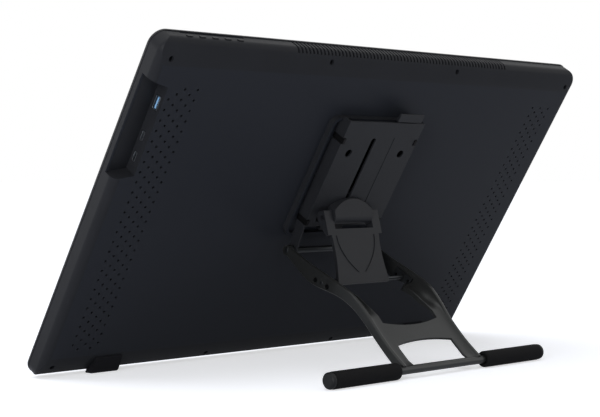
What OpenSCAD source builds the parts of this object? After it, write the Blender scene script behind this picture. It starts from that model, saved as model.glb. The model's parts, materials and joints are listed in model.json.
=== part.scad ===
// Pen display with a folding stand: a screen to draw on, held at a slant by a leg frame.
// The modules are drawn on the bench: the display lies on its face, x runs to the right seen
// from behind, y runs up the display and z comes out of its back. stand_up() sets it on the desk.

/* [Display] */
// Width of the display
body_w = 590; // [520:1:680]
// Height of the display
body_h = 362; // [340:1:420]
// Depth of the front frame's visible rim
rim_depth = 3; // [2.4:0.1:4]
// Depth of the front frame inside the cover
frame_depth = 8.4; // [8:0.1:11]
// Depth from the front glass to the flat back
back_depth = 22; // [21:0.5:28]
// Corner radius seen from the front
corner_r = 14.5; // [14.5:0.5:28]
// Thickness of the rear cover's wall
cover_wall = 2.4; // [1.6:0.1:3]
// Step from the front frame in to the rear cover
seam_step = 0.4; // [0.2:0.1:1]

/* [Screen] */
// Border from the screen panel to the left and right edges
border_side = 30; // [24:0.5:40]
// Border from the screen panel to the upper and lower edges
border_end = 31.5; // [31:0.5:40]
// Thickness of the front glass
glass_t = 1.8; // [1:0.1:2.5]

/* [Rear cover] */
// Radius of the cover's side edges
side_round = 7.5; // [4:0.5:12]
// Long radius of the crown along the top and bottom
crown_long = 60; // [40:1:90]
// Short radius of the crown's edge
crown_short = 7.5; // [6:0.5:10]
// Slope where the two crown radii meet
crown_slope = 22; // [12:1:28]
// Length of the port bay
bay_len = 88; // [80:1:110]
// Depth of the port bay from the side
bay_deep = 21.5; // [18:0.5:22]
// Number of vent slots along the top
vent_count = 64; // [20:1:70]
// Pitch of the vent slots
vent_pitch = 4.8; // [4:0.1:5]
// Rows of perforations in each column
perf_rows = 27; // [5:1:28]
// Diameter of the perforations
perf_d = 2.5; // [1.2:0.1:2.8]

/* [Keys] */
// Pitch of the five top keys
key_pitch = 14.5; // [12:0.25:15]
// Length of a key
key_len = 7; // [5:0.5:9]
// Width of a key
key_wide = 2.8; // [2.4:0.1:3]

/* [Stand] */
// Height of the mount holes' centre above the lower edge
mount_y = 227.5; // [222:0.5:240]
// Pitch of the mount holes
mount_pitch = 75; // [70:1:80]
// Half width of the track plate
plate_half = 54; // [52:0.5:55]
// Height of the track plate's face above the back
plate_rise = 16.5; // [15:0.5:18]
// Height of the hinge rod above the back
hinge_rise = 15; // [14:0.5:16]
// Half width over the legs
leg_half = 62; // [61:0.5:66]
// Thickness of a leg's side wall
leg_wall = 4.5; // [3:0.5:5]
// How far the rubber feet stand below the frame's lower edge
foot_drop = 0.5; // [0.3:0.1:3]

/* [Foot bar] */
// Half length over the grip caps
bar_half = 154; // [120:0.5:200]
// Radius of the bar
bar_r = 4; // [3.5:0.5:6.5]
// Radius of the rubber grips
grip_r = 8; // [7.5:0.5:11]

/* [Hidden] */
$fn = 64;
// running clearance of a rod in a part that turns on it, on the radius
run_fit = 0.05;
// clearance of a rod in a part that it is fixed to, on the radius
set_fit = 0.02;
// small gap between a piece and the pocket that holds it
seat_gap = 0.3;
eps = 0.5;

// levels through the display, from the front
frame_edge = 1.5;
window_gap = 0.5;
panel_t = 1.8;
light_t = 3.8;
sensor_t = frame_depth - glass_t - panel_t - light_t;
shield_z = frame_depth;
shield_t = 1;
bracket_z = shield_z + shield_t;
bracket_t = 1.5;
inside_z = back_depth - cover_wall;
cover_round = min(side_round, back_depth - frame_depth - 1);
cavity_side = 16;
cavity_end = 24;
mid = body_h / 2;
panel_w = body_w - 2 * border_side;
panel_h = body_h - 2 * border_end;
// the frame inside the cover's skirt
skirt = seam_step + cover_wall;
inner_w = body_w - 2 * skirt - 2 * seat_gap;
bevel_z = rim_depth - 1;
// the bevel of the lower edge cuts deeper into the skirt than the other edges do
bevel_in = 4;
inner_h = body_h - 2 * skirt - 2 * seat_gap - bevel_in;

// port bay on the left side seen from behind
bay_x = body_w / 2 - bay_deep;
bay_y = mount_y + 45.5;
bay_wall = 2.2;
board_z = bracket_z + 0.6;
board_t = 1.6;
usb_a_y = bay_y + 25.5;
usb_c1_y = bay_y - 8.5;
usb_c2_y = bay_y - 29.3;

// perforations
perf_x = body_w / 2 - 26.5;
perf_step = 7.1;
perf_low = 44.5;
perf_pitch = (body_h - perf_low - 45.5) / (perf_rows - 1);

// screws that close the cover
screw_x = body_w / 2 - 14;
screw_spots = [[screw_x, body_h - 18], [91, body_h - 10.5], [screw_x, 18.5], [91, 15]];
screw_seat = frame_depth + 4.8;

// rubber feet under the lower edge
foot_x = body_w / 2 - 74.5;

// keys along the top edge
key_x = 63 - body_w / 2;
key_z = frame_depth + 1.8;
pocket_y = body_h - 5.5;
vent_mid = 16.4;
pocket_z = frame_depth + 6.8;
key_count = 5;

// stand, measured up the display from the mount holes' centre
tray_t = 2;
tray_rim = 6;
tray_wall = 3;
tray_low = mount_y - 64.5;
tray_top = mount_y + 70.5;
tray_half = plate_half + 10;
rim_clear = back_depth + tray_rim + seat_gap;
base_z = back_depth + tray_t;
base_t = 1.6;
base_low = tray_low + 13;
base_top = tray_top - tray_wall - seat_gap;
plate_t = 2;
plate_z = back_depth + plate_rise;
plate_low = mount_y - 47;
plate_top = mount_y + 73;
slot_x = -10.4;
slot_w = 6;
slot_low = mount_y - 39;
slot_top = mount_y + 55;
hinge_y = mount_y - 75.8;
hinge_z = back_depth + hinge_rise;
hinge_r = 3;
hub_r = 5.2;
tab_x = plate_half - 2.4;
tab_spots = [mount_y + 51, mount_y - 42.5];

// linkage: leg rod and knuckle pin, in the photo's pose
leg_rod_y = hinge_y + 0.5;
leg_rod_z = hinge_z + 56.9;
leg_rod_r = 2;
pin_y = hinge_y + 44.8;
pin_z = plate_z + 8.5;
pin_r = 2.2;
knuckle_r = 6.6;
link = norm([pin_y - leg_rod_y, pin_z - leg_rod_z]);
link_slope = atan2(leg_rod_z - pin_z, pin_y - leg_rod_y);
ear_out = 38.8;
ear_in = 27.3;
knuckle_half = 26.9;
strut_x = -5;
strut_t = 3.5;
barrel_r = 3.5;

// legs
leg_in = leg_half - leg_wall;
strip_in = 39.5;
bar_y = hinge_y - 11.5;
bar_z = hinge_z + 180.7;
grip_in = 63;
leg_end = 57;
cap_len = 4.5;
// side view of a leg from the hinge rod, as pairs out of the display's back and up the display
under_shape = [[0, -3.8], [28, -7.9], [43, -9.1], [57, -5.5], [67, -2.2], [78, 0.9], [87, 2.1],
    [96, 2.3], [106, 1.3], [117, -1.5], [132.5, -6.1], [154, -11.1], [175.7, -15.1], [180.7, -13.7]];
over_shape = [[0, 4.2], [36, 7], [52, 9.6], [64, 11.2], [74, 12.3], [83, 13.2], [91, 13.6],
    [99, 12.3], [107, 10.5], [115, 8.5], [122.5, 5.9], [132, 2.7], [146, -0.8], [158, -3.4],
    [173.7, -5.3], [180.7, -5.9]];
outer_shape = [[72, leg_half], [125, leg_end]];
leg_stations = [0.5, 8, 16, 24, 32, 40, 47, 53, 58, 61, 64, 67, 70, 73, 76, 80, 84, 88, 92, 96, 100,
    104, 108, 112, 116, 120, 126, 132, 140, 148, 156, 164, 172, 180.7];
floor_t = 1.45;
floor_rise = 4.7;
leg_fillet = 9;
web_t = 2.2;
pivot_t = 2;
leg_screw_spots = [[leg_rod_y - 2.2, leg_rod_z - 8.3], [leg_rod_y + 1.2, leg_rod_z + 8.3]];

// lever
lever_y = mount_y + 60.5;
lever_z = base_z + base_t + 6.4;
lever_pin_r = 1.5;

// slant of the display on the desk: its feet and the grips touch one flat floor
foot_to_bar = [bar_y + foot_drop, bar_z - frame_depth];
lean = atan2(foot_to_bar[1], foot_to_bar[0]) + asin(grip_r / norm(foot_to_bar));
floor_z = bar_y * sin(lean) - bar_z * cos(lean) - grip_r;
back_y = bar_y * cos(lean) + bar_z * sin(lean) + grip_r;
front_y = frame_edge * (cos(lean) + sin(lean) - 1);

// Helpers

module stand_up() {
    translate([0, -(back_y + front_y) / 2, -floor_z])
        rotate([lean, 0, 0])
            rotate([0, 180, 0])
                children();
}

// drawing in y and z, pushed along x
module side(x0, x1) {
    translate([x0, 0, 0])
        rotate([90, 0, 90])
            linear_extrude(x1 - x0)
                children();
}

// drawing in x and z, pushed along y
module across(y0, y1) {
    translate([0, y1, 0])
        rotate([90, 0, 0])
            linear_extrude(y1 - y0)
                children();
}

module rod(r, x0, x1, y, z) {
    translate([x0, y, z])
        rotate([0, 90, 0])
            cylinder(r = r, h = x1 - x0);
}

module both_sides() {
    children();
    mirror([1, 0, 0])
        children();
}

module round_rect(w, h, r) {
    square([w - 2 * r, h], center = true);
    square([w, h - 2 * r], center = true);
    for (sx = [-1, 1], sy = [-1, 1])
        translate([sx * (w / 2 - r), sy * (h / 2 - r)])
            circle(r);
}

module slab(w, h, r, z0, z1) {
    translate([0, 0, z0])
        linear_extrude(z1 - z0)
            round_rect(w, h, r);
}

module pill(w, h) {
    square([w - h, h], center = true);
    for (sx = [-1, 1])
        translate([sx * (w - h) / 2, 0])
            circle(h / 2);
}

// half section of a rim with a rounded top corner
module rim_section(r, edge, t) {
    square([r - edge, t]);
    square([r, t - edge]);
    intersection() {
        translate([r - edge, t - edge])
            circle(edge);
        square([r + 1, t + 1]);
    }
}

// pad with rounded corners whose top edge is rounded all the way round
module rim_pad(w, h, r, edge, t) {
    cx = w / 2 - r;
    cy = h / 2 - r;
    translate([-cx, -cy, 0])
        cube([2 * cx, 2 * cy, t]);
    for (k = [0 : 3]) {
        px = (k == 0 || k == 3) ? cx : -cx;
        py = (k < 2) ? cy : -cy;
        translate([px, py, 0])
            rotate([0, 0, 90 * k])
                rotate_extrude(angle = 90)
                    rim_section(r, edge, t);
    }
    for (k = [0, 1])
        rotate([0, 0, 180 * k]) {
            translate([cx, cy, 0])
                rotate([90, 0, 0])
                    linear_extrude(2 * cy)
                        rim_section(r, edge, t);
            translate([-cx, cy, 0])
                rotate([90, 0, 90])
                    linear_extrude(2 * cx)
                        rim_section(r, edge, t);
        }
}

// Display

module frame_block() {
    translate([0, mid, rim_depth])
        mirror([0, 0, 1])
            rim_pad(body_w, body_h, corner_r, frame_edge, rim_depth);
    translate([0, mid + bevel_in / 2, 0])
        slab(inner_w, inner_h, corner_r - skirt - seat_gap, rim_depth - 0.5, frame_depth);
}

module front_frame() {
    color("#2b2c2f")
        difference() {
            frame_block();
            translate([0, mid, 0]) {
                slab(body_w - 3.6, body_h - 3.6, corner_r - 1.8, -eps, glass_t);
                translate([0, 0, frame_depth / 2])
                    cube([panel_w + 2 * window_gap, panel_h + 2 * window_gap, 4 * frame_depth],
                        center = true);
            }
            for (s = screw_spots, sx = [-1, 1])
                translate([sx * s[0], s[1], 3.6])
                    cylinder(d = 2.3, h = frame_depth);
        }
}

module front_glass() {
    color("#0d0e10")
        translate([0, mid, 0])
            slab(body_w - 3.6 - 2 * seat_gap, body_h - 3.6 - 2 * seat_gap,
                corner_r - 1.8 - seat_gap, 0, glass_t);
}

module stack_sheet(z0, t) {
    translate([0, mid, z0 + t / 2])
        cube([panel_w, panel_h, t], center = true);
}

module screen_panel() {
    color("#15181c")
        stack_sheet(glass_t, panel_t);
}

module backlight_unit() {
    color("#d9dbdc")
        stack_sheet(glass_t + panel_t, light_t);
}

module pen_sensor() {
    color("#1f5a3c")
        stack_sheet(glass_t + panel_t + light_t, sensor_t);
}

module shield_plate() {
    color("#a9adb0")
        translate([0, mid, 0])
            slab(panel_w + 8, panel_h + 13, 4, shield_z, shield_z + shield_t);
}

module mount_bracket() {
    color("#8d9296")
        difference() {
            translate([0, mount_y, 0]) {
                slab(150, 130, 6, bracket_z, bracket_z + bracket_t);
                for (sx = [-1, 1], sy = [-1, 1])
                    translate([sx * mount_pitch / 2, sy * mount_pitch / 2, bracket_z])
                        cylinder(d = 10, h = inside_z - bracket_z);
            }
            mount_bores(4 + 2 * set_fit);
        }
}

module mount_bores(d) {
    for (sx = [-1, 1], sy = [-1, 1])
        translate([sx * mount_pitch / 2, mount_y + sy * mount_pitch / 2, bracket_z - eps])
            cylinder(d = d, h = 40);
}

module main_board() {
    color("#24543a") {
        translate([-bay_x + 6, bay_y - 47, board_z])
            cube([74, 88, board_t]);
        for (px = [12, 70], py = [-42, 36])
            translate([-bay_x + px, bay_y + py, bracket_z])
                cylinder(d = 5, h = board_z - bracket_z + 0.2);
        translate([-bay_x + 34, bay_y - 20, board_z])
            cube([22, 22, board_t + 1.8]);
        translate([-bay_x + 34, bay_y + 14, board_z])
            cube([14, 10, board_t + 1.2]);
        translate([-bay_x + 60, bay_y - 12, board_z])
            cube([6, 40, board_t + 2.2]);
        translate([-bay_x + 30, bay_y - 40, board_z])
            cube([26, 8, board_t + 3]);
    }
}

// hollow metal socket that opens to the left, with a tongue inside
module socket(y, z, wide, high, deep, wall, tongue_w, tongue_h) {
    difference() {
        translate([-bay_x, y, z])
            rotate([90, 0, 90])
                linear_extrude(deep)
                    round_rect(wide, high, min(wide, high) * 0.22);
        translate([-bay_x - eps, y, z])
            rotate([90, 0, 90])
                linear_extrude(deep - 1)
                    round_rect(wide - 2 * wall, high - 2 * wall, min(wide, high) * 0.16);
    }
    translate([-bay_x + 0.8 + deep / 2, y, z])
        cube([deep - 1.6, tongue_w, tongue_h], center = true);
}

module usb_a_socket() {
    color("#9fb4c8")
        socket(usb_a_y, board_z + board_t + 3.2, 13.2, 6.4, 14, 0.5, 11, 1.8);
}

module usb_c_socket_upper() {
    color("#b9bcc0")
        socket(usb_c1_y, board_z + board_t + 1.7, 9, 3.4, 8, 0.35, 6.6, 0.7);
}

module usb_c_socket_lower() {
    color("#b9bcc0")
        socket(usb_c2_y, board_z + board_t + 1.7, 9, 3.4, 8, 0.35, 6.6, 0.7);
}

// outline of the port bay seen from behind
module bay_plan(grow) {
    low = bay_y - bay_len / 2;
    top = bay_y + bay_len / 2;
    out = body_w / 2 + 6;
    polygon([[-bay_x + grow, low - grow], [-out, low - 5.4 - grow],
        [-out, top + 7.6 + grow], [-bay_x + grow, top + grow]]);
}

// one end of the crown, out from the middle: flat, a long curve, a short one, then straight down
// to the seam at the slope last, which is 90 for an upright wall
function crown_end(inset, last) =
    let (reach = crown_long - crown_short,
        cz = back_depth - crown_long,
        sz = cz + reach * cos(crown_slope),
        drop = sz + crown_short * cos(last) - bevel_z,
        out = drop / tan(last),
        sy = mid - inset - out - crown_short * sin(last),
        cy = sy - reach * sin(crown_slope))
    concat(
        [for (k = [0 : 8]) let (a = crown_slope * k / 8)
            [cy + crown_long * sin(a), cz + crown_long * cos(a)]],
        [for (k = [1 : 10]) let (a = crown_slope + (last - crown_slope) * k / 10)
            [sy + crown_short * sin(a), sz + crown_short * cos(a)]],
        [[mid - inset, bevel_z]]);

// crown of the back in y and z, y counted from the middle of the display
module crown_section() {
    top = crown_end(seam_step + 0.3, 90);
    low = crown_end(seam_step - 0.4, 59);
    n = len(low) - 1;
    polygon(concat(top, [for (k = [n : -1 : 0]) [-low[k][0], low[k][1]]]));
}

// outside of the rear cover
module cover_form() {
    intersection() {
        translate([0, mid, rim_depth])
            rim_pad(body_w - 2 * seam_step, body_h - 2 * seam_step, corner_r - seam_step,
                cover_round, back_depth - rim_depth);
        side(-body_w, body_w)
            translate([mid, 0])
                crown_section();
    }
}

module cover_cavity() {
    translate([0, mid + bevel_in / 2, 0])
        slab(body_w - 2 * skirt, body_h - 2 * skirt - bevel_in, corner_r - skirt, rim_depth - eps,
            frame_depth);
    difference() {
        translate([0, mid, 0])
            slab(body_w - 2 * cavity_side, body_h - 2 * cavity_end, 4, frame_depth - eps, inside_z);
        translate([0, 0, frame_depth - 1])
            linear_extrude(back_depth)
                bay_plan(bay_wall);
    }
}

module vent_slots() {
    slit = 2.2;
    first = vent_mid - (vent_count - 1) / 2 * vent_pitch - slit / 2;
    for (k = [0 : vent_count - 1])
        translate([first + k * vent_pitch, body_h - 10, rim_depth + 0.8])
            cube([slit, 14, 13.4]);
}

module perforations() {
    for (sx = [-1, 1], c = [0 : 4], k = [0 : perf_rows - 1]) {
        y = perf_low + k * perf_pitch - (c % 2) * perf_pitch / 2;
        corner_dot = sx < 0 && c == 0 && k == perf_rows - 1;
        if (!corner_dot)
            translate([sx * (perf_x - c * perf_step), y, inside_z - 1])
                cylinder(d = perf_d, h = 6, $fn = 16);
    }
}

module rear_cover() {
    color("#2a2b2e")
        difference() {
            cover_form();
            cover_cavity();
            translate([0, 0, frame_depth])
                linear_extrude(back_depth)
                    bay_plan(0);
            // shallow finger groove in front of the keys
            translate([key_x, body_h, rim_depth + 1.7])
                cube([5 * key_pitch, 2.6, 2.6], center = true);
            // pocket behind the keys and the vents
            translate([key_x - 39, mid, frame_depth - eps])
                cube([78, pocket_y - mid, pocket_z - frame_depth + eps]);
            translate([vent_mid - vent_count * vent_pitch / 2 - 2, mid, frame_depth - eps])
                cube([vent_count * vent_pitch + 4, body_h - 8 - mid, pocket_z - frame_depth + eps]);
            vent_slots();
            perforations();
            for (s = screw_spots, sx = [-1, 1])
                translate([sx * s[0], s[1], 0]) {
                    translate([0, 0, screw_seat])
                        cylinder(d = 5.2, h = 20);
                    cylinder(d = 2.9, h = 20);
                }
            mount_bores(4.6);
            for (k = [0 : key_count - 1])
                translate([key_x + (k - 2) * key_pitch, body_h + 4, key_z])
                    rotate([90, 0, 0])
                        linear_extrude(12)
                            pill(key_len + 0.3, key_wide + 0.3);
            port_hole(usb_a_y, board_z + board_t + 3.2, 13.8, 7);
            port_hole(usb_c1_y, board_z + board_t + 1.7, 9.6, 4);
            port_hole(usb_c2_y, board_z + board_t + 1.7, 9.6, 4);
        }
}

module port_hole(y, z, wide, high) {
    translate([-bay_x, y, z])
        cube([12, wide, high], center = true);
}

module cover_screws() {
    color("#17181a")
        for (s = screw_spots, sx = [-1, 1])
            translate([sx * s[0], s[1], 0])
                difference() {
                    union() {
                        translate([0, 0, screw_seat])
                            cylinder(d = 4.6, h = 1.8);
                        translate([0, 0, 4.2])
                            cylinder(d = 2.2, h = screw_seat - 4);
                    }
                    translate([0, 0, screw_seat + 1.8])
                        for (a = [0, 90])
                            rotate([0, 0, a])
                                cube([2.6, 0.7, 1.8], center = true);
                }
}

module key_board() {
    color("#24543a") {
        translate([key_x - 38, body_h - 20, frame_depth])
            cube([76, 1.4, pocket_z - frame_depth - 0.4]);
        for (k = [0 : key_count - 1])
            translate([key_x + (k - 2) * key_pitch - 2, body_h - 20, key_z - 1.7])
                cube([4, 5, 3.4]);
    }
}

// key that slides in the top edge, held from inside by its flange
module top_key(k) {
    color("#1b1c1e")
        translate([key_x + (k - 2) * key_pitch, 0, key_z])
            rotate([90, 0, 0]) {
                translate([0, 0, -body_h - 0.2])
                    linear_extrude(6.9)
                        pill(key_len, key_wide);
                translate([0, 0, -pocket_y + 0.02])
                    linear_extrude(2)
                        pill(key_len + 2, key_wide + 0.5);
                translate([0, 0, -pocket_y + 1])
                    cylinder(d = 2.4, h = 7.4);
            }
}

module power_key() {
    top_key(0);
}

module menu_key() {
    top_key(1);
}

module up_key() {
    top_key(2);
}

module down_key() {
    top_key(3);
}

module auto_key() {
    top_key(4);
}

// height of the floor line up the display, at depth z
function sole(z) = (floor_z + z * cos(lean)) / sin(lean);

// rubber foot on the lower bevel, cut to the display's own shape
module foot(x) {
    sole_front = frame_depth + 8.6;
    top = 27;
    color("#131315")
        difference() {
            side(x - 15.5, x + 15.5)
                polygon([[top, back_depth - 5], [top, back_depth + 0.8],
                    [top - 1, back_depth + 1.6], [13, back_depth + 3.2],
                    [sole(back_depth + 3.2) + 1.6, back_depth + 3.2],
                    [sole(back_depth + 2), back_depth + 2], [sole(sole_front), sole_front],
                    [sole(sole_front - 1.2) + 0.8, sole_front - 1.2],
                    [sole(sole_front - 1.2) + 6, sole_front - 1.2]]);
            cover_form();
        }
}

module foot_left() {
    foot(-foot_x);
}

module foot_right() {
    foot(foot_x);
}

// Stand, the part fixed to the display

module stand_tray() {
    color("#232427")
        difference() {
            translate([0, (tray_low + tray_top) / 2, 0]) {
                difference() {
                    slab(2 * tray_half, tray_top - tray_low, 9, back_depth, back_depth + tray_rim);
                    slab(2 * (tray_half - tray_wall), tray_top - tray_low - 2 * tray_wall, 6.5,
                        base_z, base_z + 20);
                }
            }
            mount_bores(4.6);
        }
}

module stand_base() {
    color("#5a5c5f")
        difference() {
            union() {
                translate([-plate_half + 4.5, base_low, base_z])
                    cube([2 * plate_half - 9, base_top - base_low, base_t]);
                // hooks that hold the track plate
                both_sides()
                    for (y = tab_spots) {
                        translate([tab_x - 4, y - 3, base_z])
                            cube([4, 6, base_t]);
                        translate([tab_x - 1.6, y - 3, base_z])
                            cube([3.2, 6, plate_z - base_z + 0.9]);
                    }
                for (px = [13, 41])
                    translate([px - 1, lever_y - 4, base_z])
                        cube([2, 8, lever_z - base_z + 3]);
            }
            mount_bores(4.6);
            rod(lever_pin_r + set_fit, 5, 48, lever_y, lever_z);
        }
}

// side of the track plate with the ear that holds the hinge rod
module plate_flange() {
    polygon([[plate_low + 8, base_z], [base_top, base_z], [base_top, rim_clear],
        [plate_top, rim_clear], [plate_top, plate_z], [plate_low, plate_z], [hinge_y + 4, hinge_z + 5],
        [hinge_y - 2.4, hinge_z + 5], [hinge_y - 5, hinge_z + 2.4], [hinge_y - 5, hinge_z - 2.4],
        [hinge_y - 2.4, hinge_z - 5], [tray_low + 5, rim_clear], [tray_low + 9, rim_clear]]);
}

module track_plate() {
    color("#4a4c4f")
        difference() {
            union() {
                translate([-plate_half, plate_low, plate_z - plate_t])
                    cube([2 * plate_half, plate_top - plate_low, plate_t]);
                both_sides()
                    side(plate_half - plate_t, plate_half)
                        plate_flange();
            }
            // slot for the knuckle's tongue
            translate([slot_x, (slot_low + slot_top) / 2, plate_z - 2 * plate_t])
                linear_extrude(4 * plate_t)
                    rotate([0, 0, 90])
                        pill(slot_top - slot_low, slot_w);
            // pressed line beside the slot
            translate([17.4, mount_y - 20, plate_z - 0.5])
                cube([1.2, 76, 2]);
            for (sx = [-1, 1], sy = [-1, 1])
                translate([sx * mount_pitch / 2, mount_y + sy * mount_pitch / 2, plate_z - 4])
                    cylinder(d = 8.4, h = 8);
            both_sides()
                for (y = tab_spots)
                    translate([tab_x - 1.9, y - 3.3, base_z - 1])
                        cube([plate_half, 6.6, plate_rise + 4]);
            rod(hinge_r + set_fit, -plate_half - 5, plate_half + 5, hinge_y, hinge_z);
        }
}

module mount_screws() {
    color("#8f9295")
        for (sx = [-1, 1], sy = [-1, 1])
            translate([sx * mount_pitch / 2, mount_y + sy * mount_pitch / 2, 0])
                difference() {
                    union() {
                        translate([0, 0, base_z + base_t])
                            cylinder(d = 7.4, h = 2.4);
                        translate([0, 0, 12])
                            cylinder(d = 4, h = base_z + base_t - 11);
                    }
                    translate([0, 0, base_z + base_t + 2.4])
                        for (a = [0, 90])
                            rotate([0, 0, a])
                                cube([4, 1, 2.6], center = true);
                }
}

module lock_rack() {
    pitch = 4;
    teeth = 23;
    low = mount_y - 34;
    z0 = base_z + base_t;
    color("#77797c")
        side(-23, -17)
            polygon(concat(
                [[low + teeth * pitch, z0], [low, z0]],
                [for (k = [0 : teeth - 1], e = [0, 1])
                    [low + k * pitch + e * 3, z0 + (e == 0 ? 1 : 2.2)]],
                [[low + teeth * pitch, z0 + 1]]));
}

module lever_pin() {
    color("#b4b6b8")
        rod(lever_pin_r, 11, 43, lever_y, lever_z);
}

// torsion coil: a twisted arc gives the wire its thickness along the pin
module lever_spring() {
    inner = lever_pin_r + 0.3;
    outer = inner + 0.8;
    arc = [for (k = [0 : 5]) 230 * k / 5];
    color("#9a9c9e")
        translate([15.4, lever_y, lever_z])
            rotate([0, 90, 0])
                linear_extrude(4.5, twist = -1260, slices = 48)
                    polygon(concat([for (a = arc) outer * [cos(a), sin(a)]],
                        [for (k = [5 : -1 : 0]) inner * [cos(arc[k]), sin(arc[k])]]));
}

module release_lever() {
    color("#6a6c6f")
        difference() {
            union() {
                side(22, 38)
                    polygon([[lever_y - 9, lever_z - 1.2], [lever_y + 14, lever_z - 1.2],
                        [lever_y + 16.6, lever_z + 1.4], [lever_y + 16.6, plate_z - 1],
                        [lever_y + 14.2, plate_z - 1], [lever_y + 14.2, lever_z + 1.6],
                        [lever_y - 9, lever_z + 1.6]]);
                rod(3.2, 22, 38, lever_y, lever_z);
                side(11, 45.5)
                    polygon([[lever_y + 14.2, plate_z - 1], [lever_y + 22.5, plate_z - 1],
                        [lever_y + 23, plate_z - 0.4], [lever_y + 23, plate_z + 1],
                        [lever_y + 22.5, plate_z + 1.5], [lever_y + 14.2, plate_z + 1.5]]);
            }
            rod(lever_pin_r + run_fit, 10, 50, lever_y, lever_z);
        }
}

module hinge_rod() {
    color("#a6a8aa") {
        rod(hinge_r, -leg_half, leg_half, hinge_y, hinge_z);
        rod(hinge_r - 0.6, -leg_half - 0.8, leg_half + 0.8, hinge_y, hinge_z);
    }
}

module hinge_washers() {
    color("#88898c")
        both_sides()
            difference() {
                rod(hub_r, plate_half, leg_in - 0.05, hinge_y, hinge_z);
                rod(hinge_r + set_fit, plate_half - 1, leg_in + 1, hinge_y, hinge_z);
            }
}

// shoe that runs under the track plate and locks on the rack
module lock_shoe() {
    z0 = base_z + base_t + 2.3;
    color("#3a3b3e")
        difference() {
            translate([-28, pin_y - 22, z0])
                cube([32, 44, plate_z - plate_t - 0.1 - z0]);
            translate([slot_x, pin_y, z0])
                cube([slot_w + 0.8, 40, 40], center = true);
        }
}

// Stand, the folding part

// 0 before a, 1 after b and a smooth step between them
function ramp(v, a, b) =
    let (s = min(1, max(0, (v - a) / (b - a))))
    s * s * (3 - 2 * s);

// value of a shape at p, with its corners eased
function eased(shape, p) =
    (lookup(p - 3, shape) + 2 * lookup(p, shape) + lookup(p + 3, shape)) / 4;

// top of the floor between the legs, up the display from the hinge rod
function floor_top(p) = eased(under_shape, p) + floor_t + floor_rise * ramp(p, 98, 120);

// section of the right leg at p: a tall outer wall, a hollow curve down to the floor, and a lip
// along the window that sinks into the web
function leg_section(p) =
    let (low = eased(under_shape, p),
        top = eased(over_shape, p),
        out = eased(outer_shape, p),
        in = out - leg_wall,
        edge_r = 1.3,
        grown = ramp(p, 61, 75),
        raised = ramp(p, 98, 120),
        reach = max(0.6, grown * (in - strip_in)),
        edge = in - reach,
        deck = floor_top(p),
        lip = min(2.2, 0.4 * reach),
        rx = min(leg_fillet, 0.8 * (reach - lip)),
        ry = min(rx, top - deck - edge_r - 0.2),
        lip_top = deck + 1.4 * grown * (1 - raised),
        under = low + 0.05 + (floor_rise - web_t + floor_t) * raised,
        lip_low = under - 0.1 - 2.3 * grown * (1 - raised))
    concat(
        [[out - 0.8, low], [out, low + 0.8], [out, top - edge_r],
            [out - 0.3 * edge_r, top - 0.3 * edge_r], [out - edge_r, top],
            [in + edge_r, top], [in + 0.3 * edge_r, top - 0.3 * edge_r]],
        [for (k = [0 : 6])
            [in - rx + rx * cos(15 * k), deck + ry - ry * sin(15 * k)]],
        [[edge + lip, deck], [edge + 0.7 * lip, lip_top], [edge + 0.25 * lip, lip_top],
            [edge, lip_top - 0.4], [edge, lip_low], [edge + lip, lip_low],
            [edge + lip + 0.2, under], [in, under], [in, low]]);

module leg_side() {
    rings = [for (p = leg_stations) leg_section(p)];
    n = len(rings[0]);
    last = len(rings) - 1;
    points = [for (s = [0 : last], q = rings[s])
        [q[0], hinge_y + q[1], hinge_z + leg_stations[s]]];
    sides = [for (s = [0 : last - 1], i = [0 : n - 1])
        let (a = s * n + i, b = s * n + (i + 1) % n)
        each [[a, a + n, b], [b, a + n, b + n]]];
    polyhedron(points, concat(sides, [[for (i = [0 : n - 1]) i],
        [for (i = [n - 1 : -1 : 0]) last * n + i]]));
}

// web between the legs
module leg_web() {
    span = [for (p = [116 : 4 : 156]) p];
    side(-strip_in - 1, strip_in + 1)
        polygon(concat(
            [for (p = span) [hinge_y + floor_top(p) - web_t, hinge_z + p]],
            [for (k = [len(span) - 1 : -1 : 0])
                [hinge_y + floor_top(span[k]), hinge_z + span[k]]]));
}

module leg_windows() {
    // upper window, closed by an arc towards the bar
    up_z = hinge_z + 126.5;
    up_sag = 5;
    up_r = (pow(strip_in, 2) + pow(up_sag, 2)) / (2 * up_sag);
    translate([0, hinge_y + 60, 0])
        rotate([90, 0, 0])
            linear_extrude(120)
                intersection() {
                    translate([0, up_z + up_sag - up_r])
                        circle(up_r, $fn = 128);
                    translate([-strip_in, hinge_z])
                        square([2 * strip_in, 200]);
                }
    // lower window, arched towards the hinge
    low_z = hinge_z + 152.5;
    low_sag = 3.7;
    low_r = (pow(strip_in, 2) + pow(low_sag, 2)) / (2 * low_sag);
    translate([0, hinge_y + 60, 0])
        rotate([90, 0, 0])
            linear_extrude(120)
                intersection() {
                    translate([0, low_z - low_sag + low_r])
                        circle(low_r, $fn = 128);
                    translate([-strip_in, low_z - 20])
                        square([2 * strip_in, bar_z - bar_r - 3 - low_z + 20]);
                }
}

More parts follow.
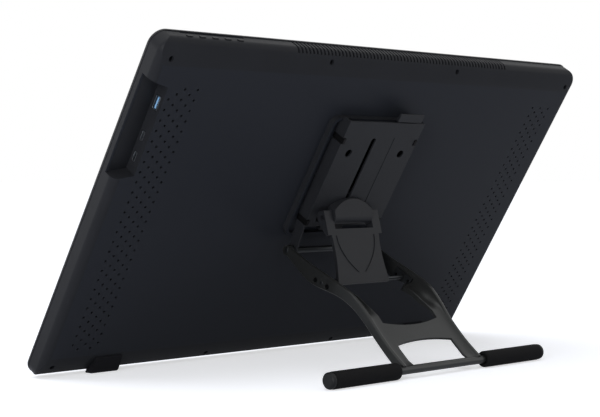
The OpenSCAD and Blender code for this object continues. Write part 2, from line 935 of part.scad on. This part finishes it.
module leg_frame() {
    color("#55575a")
        difference() {
            union() {
                both_sides() {
                    leg_side();
                    rod(hub_r, leg_in, leg_half, hinge_y, hinge_z);
                }
                difference() {
                    leg_web();
                    leg_windows();
                }
            }
            rod(hinge_r + run_fit, -leg_half - 1, leg_half + 1, hinge_y, hinge_z);
            rod(leg_rod_r + set_fit, -leg_half - 1, leg_half + 1, leg_rod_y, leg_rod_z);
            both_sides()
                for (s = leg_screw_spots)
                    rod(2.6, leg_in - 2, leg_half + 1, s[0], s[1]);
            rod(bar_r + set_fit, -leg_half - 1, leg_half + 1, bar_y, bar_z);
            // room for the hinge washers
            both_sides()
                rod(hub_r + seat_gap, leg_in - 3, leg_in, hinge_y, hinge_z);
            // seat of the pivot plate, clear of the floor
            both_sides()
                side(leg_in - pivot_t - seat_gap, leg_in)
                    translate([leg_rod_y - 6, leg_rod_z - 13])
                        square([14, 26]);
        }
}

module leg_rod() {
    color("#b4b6b8")
        rod(leg_rod_r, -leg_half - 0.4, leg_half + 0.4, leg_rod_y, leg_rod_z);
}

// plates behind the leg walls that carry the rod
module pivot_plates() {
    color("#6d6f72")
        both_sides()
            difference() {
                side(leg_in - pivot_t, leg_in)
                    polygon([[leg_rod_y - 5.4, leg_rod_z - 12], [leg_rod_y - 4.6, leg_rod_z],
                        [leg_rod_y - 1.6, leg_rod_z + 12], [leg_rod_y + 6, leg_rod_z + 12],
                        [leg_rod_y + 5, leg_rod_z - 12]]);
                rod(leg_rod_r + set_fit, leg_in - 6, leg_in + 2, leg_rod_y, leg_rod_z);
                for (s = leg_screw_spots)
                    rod(1.3, leg_in - 6, leg_in + 2, s[0], s[1]);
            }
}

module leg_screws() {
    color("#17181a")
        both_sides()
            for (s = leg_screw_spots) {
                rod(2.5, leg_in, leg_half - 1, s[0], s[1]);
                rod(1.25, leg_in - 3, leg_in + 1, s[0], s[1]);
            }
}

module foot_bar() {
    color("#7a7c7e")
        rod(bar_r, -bar_half + cap_len, bar_half - cap_len, bar_y, bar_z);
}

module grip() {
    color("#1c1c1d")
        difference() {
            rod(grip_r, grip_in, bar_half - cap_len, bar_y, bar_z);
            rod(bar_r + set_fit, grip_in - 1, bar_half, bar_y, bar_z);
        }
}

module cap() {
    color("#3b3c3e")
        translate([bar_half - cap_len, bar_y, bar_z])
            rotate([0, 90, 0])
                rotate_extrude()
                    rim_section(grip_r - 0.3, 2.5, cap_len);
}

module grip_right() {
    grip();
}

module grip_left() {
    mirror([1, 0, 0])
        grip();
}

module cap_right() {
    cap();
}

module cap_left() {
    mirror([1, 0, 0])
        cap();
}

// half width of the strut at t, from 0 at the leg rod to 1 at the knuckle pin
function strut_half(t) = 36.2 - 14 * t * (1 - t) + 2.6 * pow(t, 4);

// middle line of a rib at s, from 0 near the leg rod to 1 near the knuckle
function rib_line(s) = [27 - 22 * pow(1 - s, 2), (0.12 + 0.58 * s) * link];

// x across, y along the strut from the leg rod, z out of its back face
module on_link() {
    translate([strut_x, leg_rod_y, leg_rod_z])
        rotate([-link_slope, 0, 0])
            children();
}

module strut() {
    steps = 20;
    right = concat([[strut_half(0) + 0.4, -barrel_r]],
        [for (k = [0 : steps]) [strut_half(k / steps), k / steps * link]]);
    left = [for (k = [steps : -1 : -1]) [-right[k + 1][0], right[k + 1][1]]];
    gap = link - 12.5;
    rib_w = 1.5;
    color("#3f4144")
        on_link()
            difference() {
                union() {
                    linear_extrude(strut_t)
                        polygon(concat(right, left));
                    rod(barrel_r, -strut_half(0), strut_half(0), 0, 0);
                    both_sides()
                        side(ear_in, ear_out)
                            polygon([[gap - 6, strut_t], [link + 6, strut_t],
                                [link + 6.9, strut_t - 0.9], [link + 6.9, -4], [link + 4, -6.9],
                                [link - 4, -6.9], [gap - 6, 0]]);
                    both_sides()
                        linear_extrude(strut_t + 0.8)
                            polygon(concat(
                                [for (k = [0 : 10]) rib_line(k / 10) - [rib_w / 2, 0]],
                                [for (k = [10 : -1 : 0]) rib_line(k / 10) + [rib_w / 2, 0]]));
                }
                translate([-ear_in, gap, -20])
                    cube([2 * ear_in, 60, 40]);
                rod(leg_rod_r + run_fit, -50, 50, 0, 0);
                rod(pin_r + set_fit, -50, 50, link, 0);
            }
}

module knuckle_pin() {
    color("#a6a8aa")
        rod(pin_r, strut_x - ear_out + 0.6, strut_x + ear_out - 0.6, pin_y, pin_z);
}

// knuckle that rides on the track plate, with a tongue down into the slot
module knuckle() {
    rise = 18;
    shoulder = 9;
    lean_in = 38;
    dome = (pow(knuckle_half, 2) + pow(shoulder, 2)) / (2 * shoulder);
    low_z = plate_z + 0.4;
    color("#44464a")
        difference() {
            union() {
                translate([strut_x, 0, 0]) {
                    rod(knuckle_r, -knuckle_half, knuckle_half, pin_y, pin_z);
                    intersection() {
                        translate([0, 0, low_z])
                            linear_extrude(20)
                                intersection() {
                                    translate([0, pin_y + rise - dome])
                                        circle(dome);
                                    translate([-knuckle_half, pin_y - 6])
                                        square([2 * knuckle_half, 40]);
                                }
                        side(-60, 60)
                            polygon([[pin_y - 5, low_z], [pin_y + 30, low_z],
                                [pin_y + 30, plate_z + 1], [pin_y + rise, plate_z + 2.8],
                                [pin_y + knuckle_r * sin(lean_in), pin_z + knuckle_r * cos(lean_in)],
                                [pin_y - 5, pin_z]]);
                    }
                }
                translate([slot_x - slot_w / 2 + 0.2, pin_y - 6, plate_z - 9])
                    cube([slot_w - 0.4, 12, 14]);
            }
            rod(pin_r + run_fit, -70, 70, pin_y, pin_z);
        }
}

stand_up() front_glass();
stand_up() front_frame();
stand_up() screen_panel();
stand_up() backlight_unit();
stand_up() pen_sensor();
stand_up() shield_plate();
stand_up() mount_bracket();
stand_up() main_board();
stand_up() key_board();
stand_up() rear_cover();
stand_up() usb_a_socket();
stand_up() usb_c_socket_upper();
stand_up() usb_c_socket_lower();
stand_up() cover_screws();
stand_up() foot_left();
stand_up() foot_right();
stand_up() stand_tray();
stand_up() stand_base();
stand_up() track_plate();
stand_up() mount_screws();
stand_up() lock_rack();
stand_up() lever_pin();
stand_up() lever_spring();
stand_up() hinge_rod();
stand_up() hinge_washers();
stand_up() power_key();
stand_up() menu_key();
stand_up() up_key();
stand_up() down_key();
stand_up() auto_key();
stand_up() release_lever();
stand_up() lock_shoe();
stand_up() leg_frame();
stand_up() leg_rod();
stand_up() pivot_plates();
stand_up() leg_screws();
stand_up() foot_bar();
stand_up() grip_left();
stand_up() grip_right();
stand_up() cap_left();
stand_up() cap_right();
stand_up() strut();
stand_up() knuckle_pin();
stand_up() knuckle();
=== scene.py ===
# Pen display on a folding stand, seen from behind: finishes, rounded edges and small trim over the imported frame.
import json
import math
import bpy
from mathutils import Matrix, Vector


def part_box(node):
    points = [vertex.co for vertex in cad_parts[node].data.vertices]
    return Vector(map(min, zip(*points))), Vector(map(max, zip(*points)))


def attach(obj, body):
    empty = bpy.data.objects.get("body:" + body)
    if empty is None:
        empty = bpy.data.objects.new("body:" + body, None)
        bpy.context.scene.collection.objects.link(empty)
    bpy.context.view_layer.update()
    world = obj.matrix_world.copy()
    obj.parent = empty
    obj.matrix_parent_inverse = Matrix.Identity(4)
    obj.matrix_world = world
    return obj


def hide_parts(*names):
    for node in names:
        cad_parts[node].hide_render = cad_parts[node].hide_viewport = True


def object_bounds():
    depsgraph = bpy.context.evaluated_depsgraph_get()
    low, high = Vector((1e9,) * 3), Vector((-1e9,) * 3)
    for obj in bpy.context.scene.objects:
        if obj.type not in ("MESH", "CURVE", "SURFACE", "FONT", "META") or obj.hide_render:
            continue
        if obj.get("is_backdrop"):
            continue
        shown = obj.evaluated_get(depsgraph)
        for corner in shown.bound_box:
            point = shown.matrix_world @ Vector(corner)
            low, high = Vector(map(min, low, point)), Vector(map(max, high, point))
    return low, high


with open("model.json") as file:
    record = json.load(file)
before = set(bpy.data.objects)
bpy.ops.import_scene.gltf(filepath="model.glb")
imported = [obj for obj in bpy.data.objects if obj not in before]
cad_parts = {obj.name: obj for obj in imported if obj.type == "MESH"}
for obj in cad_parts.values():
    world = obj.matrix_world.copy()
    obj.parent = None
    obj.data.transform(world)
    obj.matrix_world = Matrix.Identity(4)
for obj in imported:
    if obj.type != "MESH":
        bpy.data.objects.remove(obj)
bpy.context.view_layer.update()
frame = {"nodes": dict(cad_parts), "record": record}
nodes = frame["nodes"]
bodyOf = {n: b for b, group in frame["record"]["behaviour"]["bodies"].items() for n in group}
slotOf = {s["node"]: s["material_slot"] for s in frame["record"]["subparts"]}
mm = 0.001

# how the display stands: its lean, then the floor's height and the move that centres the part, in millimetres
stance = {"lean": math.radians(57.9072), "floor": -4.8864, "shift": -133.7439}


def add(name, data):  # new object in the scene
    thing = bpy.data.objects.new(name, data)
    bpy.context.scene.collection.objects.link(thing)
    return thing


# Camera

view = {"place": (1.06360, 1.01530, 0.18780), "back": (0.701245, 0.712558, 0.022714),
        "up": (-0.016135, -0.015989, 0.999742), "lens": 87.69, "sensor": 36, "near": 0.05, "far": 60}
back, up = Vector(view["back"]).normalized(), Vector(view["up"]).normalized()
side = up.cross(back).normalized()
cameraData = bpy.data.cameras.new("photoCamera")
cameraData.sensor_width, cameraData.lens = view["sensor"], view["lens"]
cameraData.clip_start, cameraData.clip_end = view["near"], view["far"]
camera = add("photoCamera", cameraData)
turn = Matrix((side, back.cross(side), back)).transposed().to_4x4()
camera.matrix_world = Matrix.Translation(view["place"]) @ turn
bpy.context.scene.camera = camera
bpy.context.scene.view_settings.view_transform = "Standard"
print("camera set")


# Node helpers: most of them return the socket that is wanted

def linear(code):  # sRGB hex to linear colour
    parts = [int(code[k:k + 2], 16) / 255 for k in (1, 3, 5)]
    return tuple(p / 12.92 if p <= 0.04045 else ((p + 0.055) / 1.055) ** 2.4 for p in parts) + (1,)


def shaded(code, times):  # the same colour, lighter or darker
    return tuple(min(1, c * times) for c in linear(code)[:3]) + (1,)


def put(tree, kind, links=None, **settings):  # adds a node, fills its sockets and joins it up
    node = tree.nodes.new("ShaderNode" + kind)
    for name, value in settings.items():
        setattr(node, name, value)
    for name, value in (links or {}).items():
        if isinstance(value, bpy.types.NodeSocket):
            tree.links.new(value, node.inputs[name])
        else:
            node.inputs[name].default_value = value
    return node


def blank(name):  # empty material, its tree and the piece's own coordinates
    material = bpy.data.materials.new(name)
    material.use_nodes = True
    tree = material.node_tree
    tree.nodes.clear()
    return material, tree, put(tree, "TexCoord").outputs["Object"]


def reckon(tree, operation, *values):
    return put(tree, "Math", dict(enumerate(values)), operation=operation).outputs[0]


def pattern(tree, kind, where, size, links=None, **settings):  # texture with features of a size in millimetres
    return put(tree, kind, {"Vector": where, "Scale": 1 / (size * mm), **(links or {})}, **settings).outputs


def blend(tree, factor, first, second):
    return put(tree, "Mix", {"Factor": factor, "A": first, "B": second}, data_type="RGBA").outputs["Result"]


def tones(tree, factor, code, dim, lit):  # one colour between a darker and a lighter tone
    return blend(tree, factor, shaded(code, dim), shaded(code, lit))


def spread(tree, value, low, high, start=0.0, end=1.0):  # value from start to end becomes low to high
    return put(tree, "MapRange", {"Value": value, "From Min": start, "From Max": end,
                                  "To Min": low, "To Max": high}).outputs["Result"]


def relief(tree, height, lift, deep):
    return put(tree, "Bump", {"Height": height, "Strength": lift, "Distance": deep * mm}).outputs["Normal"]


def finished(material, tree, tint, gloss, links):
    surface = put(tree, "BsdfPrincipled", {"Base Color": tint, "Roughness": gloss, **links})
    put(tree, "OutputMaterial", {"Surface": surface.outputs["BSDF"]})
    return material


def onDisplay(tree, vector):  # turned flat with the display: x across, y up its back
    flat = put(tree, "Mapping", {"Vector": vector, "Rotation": (-stance["lean"], 0, 0)}, vector_type="POINT")
    return put(tree, "SeparateXYZ", {"Vector": flat.outputs["Vector"]}).outputs


def upDisplay(height):  # that y for a height up the display in millimetres
    shift, floor = stance["shift"] * math.cos(stance["lean"]), stance["floor"] * math.sin(stance["lean"])
    return (height + shift - floor) * mm


def seenDirectly(tree, inGloss=1.0):  # 1 for rays that show the backdrop, 0 for the light that falls on things
    path = put(tree, "LightPath").outputs
    gloss = reckon(tree, "MULTIPLY", path["Is Glossy Ray"], inGloss)
    shown = reckon(tree, "MAXIMUM", path["Is Camera Ray"], gloss)
    return reckon(tree, "MAXIMUM", shown, path["Is Transmission Ray"])


# Light

lamps = {
    "sky": {"strength": 0.34, "shown": 1.0},
    "overhead": {"from": (0.15, -0.25, 1.0), "strength": 1.1, "spread": 70},
    "strips": {
        "leftStrip": {"at": (1.6, 0.80, 0.35), "aim": (0.15, 0, 0.14), "size": (0.5, 1.2), "power": 17},
        "edgeStrip": {"at": (1.25, -1.2, 0.35), "aim": (0.295, -0.1, 0.15), "size": (0.4, 1.0), "power": 4},
        "rightStrip": {"at": (-2.5, 1.9, 1.0), "aim": (-0.1, 0.05, 0.15), "size": (0.8, 1.6), "power": 4},
    },
}
world = bpy.data.worlds.new("studio")
bpy.context.scene.world = world
world.use_nodes = True
tree = world.node_tree
tree.nodes.clear()
level = spread(tree, seenDirectly(tree), lamps["sky"]["strength"], lamps["sky"]["shown"])
sky = put(tree, "Background", {"Color": linear("#ffffff"), "Strength": level})
put(tree, "OutputWorld", {"Surface": sky.outputs["Background"]})


def turned(direction):  # a lamp shines along its own -Z, so its Z points back along the light
    return Vector(direction).to_track_quat("Z", "Y").to_euler()


for name, look in lamps["strips"].items():
    data = bpy.data.lights.new(name, "AREA")
    data.shape, data.energy = "RECTANGLE", look["power"]
    data.size, data.size_y = look["size"]
    lamp = add(name, data)
    lamp.location = look["at"]
    lamp.rotation_euler = turned(Vector(look["at"]) - Vector(look["aim"]))
data = bpy.data.lights.new("overhead", "SUN")  # wide overhead light, even over the whole floor
data.energy, data.angle = lamps["overhead"]["strength"], math.radians(lamps["overhead"]["spread"])
add("overhead", data).rotation_euler = turned(lamps["overhead"]["from"])
print("light set")


# Materials: each function returns a finished material, sizes in millimetres

plastic = {"cloud": 60, "dim": 0.9, "lit": 1.12, "flat": -0.998, "swing": 0.06, "start": 0.3, "end": 0.7,
           "lift": 0.12, "deep": 0.2}


def mouldedPlastic(name, look):
    # ABS from a spark-eroded mould: matt, a fine pebbled grain that breaks up the shine, faint cloudiness
    material, tree, where = blank(name)
    pebble = pattern(tree, "TexVoronoi", where, look["grain"], feature="SMOOTH_F1")["Distance"]
    fine = pattern(tree, "TexNoise", where, look["grain"] / 2, {"Detail": 3.0})["Fac"]
    height = put(tree, "Mix", {"Factor": fine, "A": pebble, "B": fine}).outputs["Result"]
    cloud = pattern(tree, "TexNoise", where, plastic["cloud"], {"Detail": 2.0})["Fac"]
    tint = tones(tree, cloud, look["colour"], plastic["dim"], plastic["lit"])
    if "field" in look:  # faces that point straight out of the back take the field colour, a little lighter and bluer than the rolled edges round them
        facing = onDisplay(tree, put(tree, "NewGeometry").outputs["Normal"])["Z"]
        flat = reckon(tree, "LESS_THAN", facing, plastic["flat"])
        tint = blend(tree, flat, tint, linear(look["field"]))
    gloss = spread(tree, fine, look["rough"] - plastic["swing"], look["rough"] + plastic["swing"],
                   plastic["start"], plastic["end"])
    return finished(material, tree, tint, gloss, {"Normal": relief(tree, height, plastic["lift"], plastic["deep"]),
                                                  "Specular IOR Level": look["specular"]})


coat = {"flake": 0.7, "rare": 0.80, "fleck": 0.35, "glint": 1.8, "patch": 25, "dim": 0.88, "lit": 1.14,
        "swing": 0.06, "lift": 0.08, "deep": 0.2}


def powderCoat(name, look):
    # powder sprayed on steel and baked: tiny orange peel, a trace of metal flake, slightly uneven tone
    material, tree, where = blank(name)
    peel = pattern(tree, "TexNoise", where, look["peel"], {"Detail": 2.0})["Fac"]
    flake = pattern(tree, "TexVoronoi", where, coat["flake"])["Color"]  # real flake is finer than a pixel
    patch = pattern(tree, "TexNoise", where, coat["patch"], {"Detail": 3.0})["Fac"]
    tint = tones(tree, patch, look["colour"], coat["dim"], coat["lit"])
    fleck = spread(tree, flake, 0.0, coat["fleck"], coat["rare"], 1.0)
    tint = blend(tree, fleck, tint, shaded(look["colour"], coat["glint"]))
    gloss = spread(tree, peel, look["rough"] - coat["swing"], look["rough"] + coat["swing"])
    return finished(material, tree, tint, gloss, {"Normal": relief(tree, peel, coat["lift"], coat["deep"]),
                                                  "Metallic": look.get("metal", 0.0),
                                                  "Specular IOR Level": look["specular"]})


steel = {"across": 0.4, "along": 6, "dim": 0.8, "smoother": 0.08, "rougher": 0.1, "lift": 0.06, "deep": 0.05}


def groundSteel(name, look):
    # rod and sheet finished by grinding: fine scratches run round the rod, bright between them
    material, tree, where = blank(name)
    across, along = 1 / (steel["across"] * mm), 1 / (steel["along"] * mm)
    stretched = put(tree, "Mapping", {"Vector": where, "Scale": (across, along, along)}).outputs["Vector"]
    lines = put(tree, "TexNoise", {"Vector": stretched, "Scale": 1.0, "Detail": 3.0}).outputs["Fac"]
    tint = tones(tree, lines, look["colour"], steel["dim"], 1.0)
    gloss = spread(tree, lines, look["rough"] - steel["smoother"], look["rough"] + steel["rougher"])
    return finished(material, tree, tint, gloss, {"Normal": relief(tree, lines, steel["lift"], steel["deep"]),
                                                  "Metallic": 1.0})


rubber = {"dust": 6, "dim": 0.8, "lit": 1.2, "swing": 0.06, "deep": 0.2}


def mouldedRubber(name, look):
    # moulded rubber: dull, slightly dusty in its pores, no clear reflection
    material, tree, where = blank(name)
    pores = pattern(tree, "TexVoronoi", where, look["grain"])["Distance"]
    dust = pattern(tree, "TexNoise", where, rubber["dust"], {"Detail": 4.0})["Fac"]
    tint = tones(tree, dust, look["colour"], rubber["dim"], rubber["lit"])
    gloss = spread(tree, dust, look["rough"] - rubber["swing"], look["rough"] + rubber["swing"])
    return finished(material, tree, tint, gloss, {"Normal": relief(tree, pores, look["lift"], rubber["deep"]),
                                                  "Specular IOR Level": look["specular"]})


def etchedGlass(name, look):
    # chemically etched cover glass: black printed border, a switched-off screen behind it, soft reflections
    material, tree, where = blank(name)
    spot = onDisplay(tree, where)
    across = reckon(tree, "ABSOLUTE", spot["X"])
    high = reckon(tree, "ABSOLUTE", reckon(tree, "SUBTRACT", spot["Y"], upDisplay(look["middle"])))
    inX = reckon(tree, "LESS_THAN", across, look["wide"] / 2 * mm)
    inY = reckon(tree, "LESS_THAN", high, look["high"] / 2 * mm)
    screen = reckon(tree, "MULTIPLY", inX, inY)
    grit = pattern(tree, "TexNoise", where, look["grit"], {"Detail": 2.0})["Fac"]
    tint = blend(tree, screen, linear(look["border"]), linear(look["screen"]))
    gloss = spread(tree, grit, *look["rough"])
    return finished(material, tree, tint, gloss, {"Normal": relief(tree, grit, look["lift"], look["deep"]),
                                                  "IOR": look["ior"], "Specular IOR Level": look["specular"]})


def circuitBoard(name, look):
    # glass-epoxy board under green solder mask, with faint copper runs
    material, tree, where = blank(name)
    tint = pattern(tree, "TexBrick", where, look["run"],
                   {"Mortar Size": look["line"], "Color1": linear(look["mask"]), "Color2": linear(look["shade"]),
                    "Mortar": linear(look["copper"])})["Color"]
    weave = pattern(tree, "TexNoise", where, look["weave"])["Fac"]
    return finished(material, tree, tint, spread(tree, weave, *look["rough"]), {})


finish = {
    "cover_plastic": mouldedPlastic("texturedAbs", {"colour": "#232427", "field": "#25272c", "grain": 1.2,
                                                    "rough": 0.40, "specular": 0.06}),
    "frame_plastic": mouldedPlastic("satinAbs", {"colour": "#1c1d20", "grain": 0.9, "rough": 0.42, "specular": 0.15}),
    "screen_glass": etchedGlass("etchedGlass", {"wide": 530, "high": 299, "middle": 181, "border": "#060607",
                                                "screen": "#262b33", "grit": 0.8, "rough": (0.22, 0.32),
                                                "lift": 0.05, "deep": 0.05, "ior": 1.5, "specular": 0.16}),
    "panel_film": mouldedPlastic("panelFilm", {"colour": "#0e1014", "grain": 4, "rough": 0.25, "specular": 0.5}),
    "backlight_film": mouldedPlastic("diffuserFilm", {"colour": "#c8cbcc", "grain": 4, "rough": 0.6, "specular": 0.4}),
    "circuit_board": circuitBoard("solderMask", {"run": 12, "line": 0.03, "mask": "#1d5a3a", "shade": "#19502f",
                                                 "copper": "#2f7a52", "weave": 1.5, "rough": (0.3, 0.45)}),
    "sheet_steel": groundSteel("zincSheet", {"colour": "#9aa0a4", "rough": 0.38}),
    "socket_steel": groundSteel("nickelPlate", {"colour": "#a9adb2", "rough": 0.3}),
    "black_screw": powderCoat("blackOxide", {"colour": "#060607", "peel": 0.6, "rough": 0.5, "specular": 0.06}),
    "foot_rubber": mouldedRubber("footRubber", {"colour": "#17171a", "grain": 1.0, "rough": 0.6, "specular": 0.06,
                                                "lift": 0.18}),
    "stand_metal": powderCoat("blackPowderCoat", {"colour": "#1f2023", "peel": 0.9, "rough": 0.46, "specular": 0.16}),
    "leg_metal": powderCoat("gunmetalPaint", {"colour": "#353636", "peel": 0.8, "rough": 0.33, "metal": 0.6,
                                              "specular": 0.2}),
    "bar_metal": powderCoat("gunmetalBar", {"colour": "#383939", "peel": 0.8, "rough": 0.34, "metal": 0.7,
                                            "specular": 0.25}),
    # rods and pins in a dark steel colour: partly their own dark finish, partly painted shade for the shadow the hinge
    # rods sit in
    "bright_steel": groundSteel("groundSteel", {"colour": "#3f4143", "rough": 0.42}),
    "grip_rubber": mouldedRubber("gripFoam", {"colour": "#171718", "grain": 1.6, "rough": 0.75, "specular": 0.06,
                                              "lift": 0.5}),
    "trim_plastic": mouldedPlastic("trimPlastic", {"colour": "#151618", "grain": 0.9, "rough": 0.45,
                                                   "specular": 0.18}),
}
# near-black finish for the base: painted shade standing in for the shadow in the recess round its hooks
hookShadeCoat = powderCoat("hookPaintedShade", {"colour": "#0a0a0b", "peel": 0.6, "rough": 0.5, "specular": 0.1})
finishOf = {"stand_base": hookShadeCoat}  # the base shows only as the hooks through the plate, painted near-black as painted shade for the shadowed recess round them
print("finishes made:", len(finish) + len(finishOf))


# Merged copies of the CAD nodes, most with small rounds on their edges

merging = {"gap": 0.002, "flat": 0.4, "smooth": 30, "sharp": 35, "steps": 2, "weight": 80}


def alone(piece):
    bpy.ops.object.select_all(action="DESELECT")
    bpy.context.view_layer.objects.active = piece
    piece.select_set(True)


def roundEdges(piece, look):
    bevel = piece.modifiers.new("edges", "BEVEL")
    bevel.width, bevel.segments = look["round"] * mm, look.get("steps", merging["steps"])
    bevel.limit_method, bevel.angle_limit = "ANGLE", math.radians(merging["sharp"])
    bevel.harden_normals = True
    bevel.use_clamp_overlap = True
    bpy.ops.object.modifier_apply(modifier=bevel.name)


def settleNormals(piece):
    weigh = piece.modifiers.new("flats", "WEIGHTED_NORMAL")
    weigh.keep_sharp, weigh.weight = True, merging["weight"]
    bpy.ops.object.modifier_apply(modifier=weigh.name)


def skin(name, look):  # merged copy of a CAD node, rounded where its look gives a size
    mesh = nodes[name].data.copy()
    piece = add(name + "Skin", mesh)
    alone(piece)
    if mesh.has_custom_normals:
        bpy.ops.mesh.customdata_custom_splitnormals_clear()
    bpy.ops.object.mode_set(mode="EDIT")
    bpy.ops.mesh.select_all(action="SELECT")
    bpy.ops.mesh.remove_doubles(threshold=merging["gap"] * mm)
    if look.get("join", True):
        bpy.ops.mesh.dissolve_limited(angle_limit=math.radians(merging["flat"]))
    bpy.ops.object.mode_set(mode="OBJECT")
    bpy.ops.object.shade_smooth_by_angle(angle=math.radians(look.get("smooth", merging["smooth"])))
    if "round" in look:
        roundEdges(piece, look)
    settleNormals(piece)
    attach(piece, bodyOf[name])
    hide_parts(name)
    return piece


skins = {
    "rear_cover": {"join": False}, "front_frame": {"join": False}, "front_glass": {"round": 0.3},
    "foot_left": {"round": 1.4, "steps": 3}, "foot_right": {"round": 1.4, "steps": 3},
    "cover_screws": {"round": 0.2}, "mount_screws": {"round": 0.3}, "leg_screws": {"round": 0.3},
    "usb_a_socket": {"round": 0.1}, "usb_c_socket_upper": {"round": 0.1}, "usb_c_socket_lower": {"round": 0.1},
    "power_key": {"round": 0.4}, "menu_key": {"round": 0.4}, "up_key": {"round": 0.4}, "down_key": {"round": 0.4},
    "auto_key": {"round": 0.4},
    "stand_tray": {"round": 1.6, "steps": 3}, "stand_base": {"round": 0.3},
    "track_plate": {"round": 1.0, "steps": 3}, "release_lever": {"round": 0.7}, "lock_shoe": {"round": 0.5},
    "hinge_rod": {"round": 0.4}, "hinge_washers": {"round": 0.3},
    "leg_frame": {"join": False, "smooth": 38}, "leg_rod": {"round": 0.4}, "pivot_plates": {"round": 0.3},
    "strut": {"round": 0.8, "steps": 3}, "knuckle": {"round": 1.2, "steps": 3}, "knuckle_pin": {"round": 0.4},
    "foot_bar": {"round": 0.5}, "grip_left": {"round": 2.4, "steps": 4}, "grip_right": {"round": 2.4, "steps": 4},
    "cap_left": {"round": 0.6}, "cap_right": {"round": 0.6},
}
for name, node in nodes.items():
    piece = skin(name, skins[name]) if name in skins else node
    piece.data.materials.clear()
    piece.data.materials.append(finishOf.get(name, finish[slotOf[name]]))
print("nodes dressed:", len(nodes), "by merged copies:", len(skins))

# Insulator and contacts inside the wide socket

socketTrim = {"deep": 12.0, "wide": 11.0, "thick": 1.8, "tongueAt": 0.6, "contacts": 4, "pitch": 2.3,
              "contact": (8, 1.1, 0.3), "contactAt": 2.2, "round": 0.12, "steps": 2}
low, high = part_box("usb_a_socket")
heart = (Vector(low) + Vector(high)) / 2
rest = Matrix.Translation(heart) @ Matrix.Rotation(stance["lean"], 4, "X")


def block(name, size, place):  # bevelled bar set in the socket's own directions, then its place applied
    bpy.ops.object.select_all(action="DESELECT")
    bpy.ops.mesh.primitive_cube_add(size=1)
    piece = bpy.context.object
    piece.name = name
    stretch = Matrix.Diagonal((*[s * mm for s in size], 1))
    piece.matrix_world = rest @ Matrix.Translation(Vector(place) * mm) @ stretch
    bpy.ops.object.transform_apply(location=True, rotation=True, scale=True)
    bpy.ops.object.mode_set(mode="EDIT")
    bpy.ops.mesh.select_all(action="SELECT")
    bpy.ops.mesh.bevel(offset=socketTrim["round"] * min(size) * mm, segments=socketTrim["steps"])
    bpy.ops.object.mode_set(mode="OBJECT")
    return piece


tongueSize = (socketTrim["deep"], socketTrim["wide"], socketTrim["thick"])
tongue = block("socketTongue", tongueSize, (socketTrim["tongueAt"], 0, 0))
tongue.data.materials.append(mouldedPlastic("blueInsulator", {"colour": "#7fa9cf", "grain": 0.6, "rough": 0.4,
                                                              "specular": 0.3}))
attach(tongue, "display")
strips = []
for k in range(socketTrim["contacts"]):
    across = (k - (socketTrim["contacts"] - 1) / 2) * socketTrim["pitch"]
    place = (socketTrim["contactAt"], across, -socketTrim["thick"] / 2)
    strips.append(block("socketContact", socketTrim["contact"], place))
alone(strips[0])
for strip in strips[1:]:
    strip.select_set(True)
bpy.ops.object.join()
contacts = bpy.context.object
contacts.name = "socketContacts"
contacts.data.materials.append(groundSteel("goldFlash", {"colour": "#c9a45a", "rough": 0.3}))
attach(contacts, "display")
print("socket trimmed")

# Floor: pale paper that takes the shadow, with some white added for rays that show it

floorLook = {"half": 30, "drop": 0.2, "cool": "#e6eaf4", "fibre": 25, "dim": 0.99, "lit": 1.01, "show": 0.55,
             "inGloss": 0.3}
bpy.ops.object.select_all(action="DESELECT")
bpy.ops.mesh.primitive_plane_add(size=2 * floorLook["half"], location=(0, 0, -floorLook["drop"] * mm))
floor = bpy.context.object
floor.name = "studioFloor"
material, tree, where = blank("palePaper")
fibre = pattern(tree, "TexNoise", where, floorLook["fibre"])["Fac"]
tone = tones(tree, fibre, floorLook["cool"], floorLook["dim"], floorLook["lit"])
paper = put(tree, "BsdfDiffuse", {"Color": tone})
shown = reckon(tree, "MULTIPLY", seenDirectly(tree, floorLook["inGloss"]), floorLook["show"])
white = put(tree, "Emission", {"Color": linear("#ffffff"), "Strength": shown})
both = put(tree, "AddShader", {0: paper.outputs["BSDF"], 1: white.outputs["Emission"]})
put(tree, "OutputMaterial", {"Surface": both.outputs["Shader"]})
floor.data.materials.append(material)
floor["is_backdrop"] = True

low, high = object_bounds()
